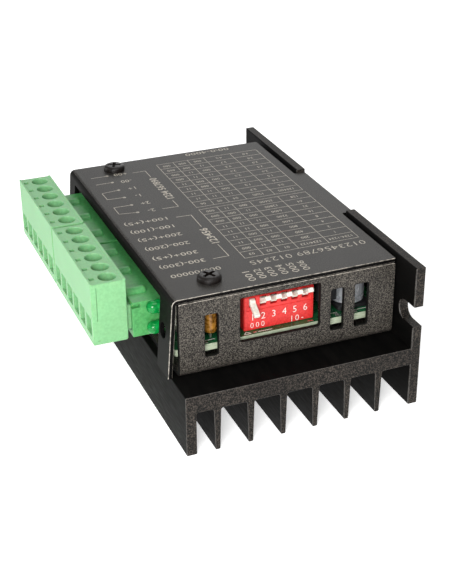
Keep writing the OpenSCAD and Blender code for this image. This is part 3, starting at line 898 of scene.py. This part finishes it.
def plug(side):
    """The loose half of a terminal row. Each pole has a well, a slit, a chamber and a wire entry."""
    low, high = span(f"{side}_plug")
    right = span(f"{side}_header")[0].x - 1.1
    left, bottom, top = low.x, low.z, high.z
    y0, y1 = low.y, high.y
    rim, dip = 0.45, 0.15
    outline = rounded([(left, bottom, 0.35), (right, bottom, 0.5), (right, top, 0), (right - rim, top, 0),
                       (right - rim - 0.1, top - dip, 0), (left + rim + 0.1, top - dip, 0),
                       (left + rim, top, 0), (left, top, 0)])
    body = moved(plate([outline], y1 - y0, 0.12), axes((0, (y0 + y1) / 2, 0), ALONG_X, ALONG_Z))
    nose = block((right - 0.5, y0 + 1.3, 22.65), (high.x, y1 - 1.3, 28.55), 0.2)
    well_r = 1.95
    well = [(0, LEDGE_TOP), (well_r, LEDGE_TOP), (well_r, top - 0.35), (well_r + 0.12, top - 0.14),
            (well_r + 0.12, top + 1), (0, top + 1)]
    tools = [
        row_of(lambda: moved(lathe(well, 40), Matrix.Translation((SCREW_X, 0, 0))), side),
        row_of(lambda: block((-13.65, -0.6, top - 4), (-12.5, 0.6, top + 1), 0.04), side),
        row_of(lambda: moved(lathe([(0, 29.5), (1.35, 29.5), (1.35, 31.5), (0, 31.5)]),
                             Matrix.Translation((SCREW_X, 0, 0))), side),
        row_of(lambda: block((SCREW_X - 2.1, -2, 22.2), (SCREW_X + 2.1, 2, 30), 0.1), side),
        row_of(lambda: block((left - 1, -1.95, 22.9), (SCREW_X, 1.95, 27.2), 0.1), side),
        row_of(lambda: block((SCREW_X, -1.25, 24.3), (high.x + 1, 1.25, 26.8), 0.05), side),
    ]
    whole = carve(carve(body, [nose], "UNION"), tools)
    seam = block((left + 1.15, y0 - 0.5, 26.8), (left + 1.3, y0 + 0.25, top - 0.9), 0)
    nick = block((left + 1.0, y0 - 0.5, bottom + 0.9), (left + 1.7, y0 + 0.15, bottom + 1.05), 0)
    whole = carve(whole, [joined([seam, nick])])
    node = f"{side}_plug"
    piece(f"{node}_case", whole, node, [PLUG_GREEN], [node])


def header(side):
    """The socket on the board, with three arches on its roof, open towards the plug."""
    node = f"{side}_header"
    low, high = span(node)
    y0, y1 = low.y, high.y
    left, right, bottom = low.x, high.x, low.z
    roof, wall = 29.6, 1.1
    front_x, arch_r, arch_z, arch_end = 3.8, 1.7, 28.9, -0.4
    arch_y = [(pole_y(side, i) + pole_y(side, i + 1)) / 2 for i in (1, 3, 5)]
    arch_l = arch_end - left
    arch = [(0, 0), (arch_r - 0.05, 0), (arch_r, 0.1), (arch_r, arch_l - 0.5), (arch_r - 0.15, arch_l - 0.15),
            (arch_r - 0.5, arch_l), (0, arch_l)]
    bore = [(0, -1), (1, -1), (1, 4), (0, 4)]

    def at_arches(profile, sides):
        """A turned shape at each arch, with its axis along X."""
        lying = Matrix.Rotation(math.pi / 2, 4, "Y")
        return joined([moved(lathe(profile, sides), Matrix.Translation((left, y, arch_z)) @ lying)
                       for y in arch_y])

    shell = block((left, y0, bottom), (front_x, y1, roof), 0.15)
    rear = block((front_x - 0.3, y0, 28.4), (right, y1, roof), 0.12)
    ends = [block((front_x - 0.3, y, bottom), (right, y + wall, roof), 0.12) for y in (y0, y1 - wall)]
    shell = carve(shell, [at_arches(arch, 40), rear, joined(ends)], "UNION")
    tools = [
        block((left - 1, y0 + wall, bottom + 1.25), (2.3, y1 - wall, 28.75), 0.1),
        at_arches(bore, 24),
        joined([block((left - 1, y - 1, 28.2), (left + 1.8, y + 1, roof - 0.5), 0.08) for y in (y0, y1)]),
        row_of(lambda: block((1.5, -0.52, 24.9), (4.5, 0.52, 25.9), 0), side),
    ]
    piece(f"{node}_shell", carve(shell, tools), "housing", [HEADER_GREEN], [node])


def terminal_screw(side, i):
    """A slotted terminal screw with a ringed shank."""
    node = f"{side}_screw_{i}"
    low, high = span(node)
    head_r, shank_r, pitch = (high.x - low.x) / 2, 1.25, 0.5
    foot, head = low.z - LEDGE_TOP, high.z - LEDGE_TOP
    thread = []
    for k in range(7):
        z = foot + 0.15 + k * pitch
        thread += [(shank_r - 0.18, z), (shank_r, z + 0.25)]
    turned = lathe([(0, foot), *thread, (shank_r - 0.05, 0), (head_r - 0.1, 0), (head_r, 0.1),
                    (head_r, head - 0.25), (head_r - 0.25, head), (0, head)])
    turned = carve(turned, [block((-3, -0.25, 0.8), (3, 0.25, head + 1), 0.03)])
    turned = moved(turned, Matrix.Translation((SCREW_X, pole_y(side, i), LEDGE_TOP)))
    piece(f"{node}_turned", turned, node, [ZINC], [node])


for side in SIDES:
    plug(side)
    header(side)
    for i in POLES:
        terminal_screw(side, i)


# ---------- CAD nodes that keep their shape ----------

def refine(node, material, edge=0.05):
    """Gives a carried-over CAD node its material, and eases its edges without touching its mesh."""
    item = frame["nodes"][node]
    for held in item.material_slots:
        held.material = material
    weld = item.modifiers.new("weld", "WELD")
    weld.merge_threshold = 1e-6
    flat = item.modifiers.new("flat", "DECIMATE")
    flat.decimate_type, flat.angle_limit = "DISSOLVE", math.radians(1)
    ease = item.modifiers.new("ease", "BEVEL")
    ease.width, ease.segments, ease.limit_method = edge * MM, 1, "ANGLE"
    ease.angle_limit = math.radians(40)


KEPT = {
    "chassis_screws": ZINC, "board_spacers": ZINC, "board_screws": ZINC, "thermal_pad": PAD_GREY,
    "driver_chip": CHIP_BLACK, "optocouplers": CHIP_BLACK, "logic_chip": CHIP_BLACK,
    "sense_resistors": CHIP_BLACK, "switch_pins": TINNED,
}
for side in SIDES:
    KEPT[f"{side}_contacts"] = TINNED
    KEPT[f"{side}_header_pins"] = TINNED
    for i in POLES:
        KEPT[f"{side}_clamp_{i}"] = ZINC
for node, material in KEPT.items():
    refine(node, material)


# ---------- floor, light and camera ----------

def stage():
    """A pale floor that runs far past the object."""
    reach, cells = 3.0, 8
    bm = bmesh.new()
    bmesh.ops.create_grid(bm, x_segments=cells, y_segments=cells, size=reach)
    mesh = bpy.data.meshes.new("floor")
    bm.to_mesh(mesh)
    bm.free()
    mesh.materials.append(FLOOR_PALE)
    floor = bpy.data.objects.new("floor", mesh)
    bpy.context.scene.collection.objects.link(floor)


def softbox(name, azimuth, elevation, distance, size, power):
    """An area light that looks at the object's middle from a direction, in degrees and metres."""
    middle = (Vector(cad_box[0]) + Vector(cad_box[1])) / 2
    back = direction(azimuth, elevation)
    lamp = bpy.data.lights.new(name, "AREA")
    lamp.shape, lamp.size, lamp.energy = "DISK", size, power
    holder = bpy.data.objects.new(name, lamp)
    holder.location = middle + back * distance
    holder.rotation_euler = back.to_track_quat("Z", "Y").to_euler()
    bpy.context.scene.collection.objects.link(holder)


def camera():
    """The photo's camera: what it looks at, from where, how far it is rolled, and its focal length."""
    roll = math.radians(-0.599)
    target = Vector((4.321, -7.664, 15.451)) * MM
    distance, long_side, focal = 300.738 * MM, 584, 1235.36
    back = direction(-21.631, 27.669)
    level = (-back).cross(ALONG_Z).normalized()
    upright = level.cross(-back)
    right = level * math.cos(roll) + upright * math.sin(roll)
    up = upright * math.cos(roll) - level * math.sin(roll)
    data = bpy.data.cameras.new("camera")
    data.sensor_width = 36
    data.lens = focal * data.sensor_width / long_side
    data.clip_start, data.clip_end = 0.01, 20
    holder = bpy.data.objects.new("camera", data)
    turn = Matrix((right, up, back)).transposed().to_4x4()
    holder.matrix_world = Matrix.Translation(target + back * distance) @ turn
    bpy.context.scene.collection.objects.link(holder)
    bpy.context.scene.camera = holder


def daylight():
    world = bpy.data.worlds.new("studio")
    world.use_nodes = True
    world.node_tree.nodes["Background"].inputs["Color"].default_value = (1, 1, 1, 1)
    world.node_tree.nodes["Background"].inputs["Strength"].default_value = 0.3
    bpy.context.scene.world = world


stage()
softbox("key", -30, 24, 0.45, 0.25, 2.3)
softbox("left", -125, 18, 0.8, 0.4, 2.2)
softbox("back", 155, 32, 0.9, 0.7, 2.0)
softbox("top", 10, 75, 0.9, 0.5, 1.6)
camera()
daylight()
bpy.context.scene.view_settings.view_transform = "Standard"
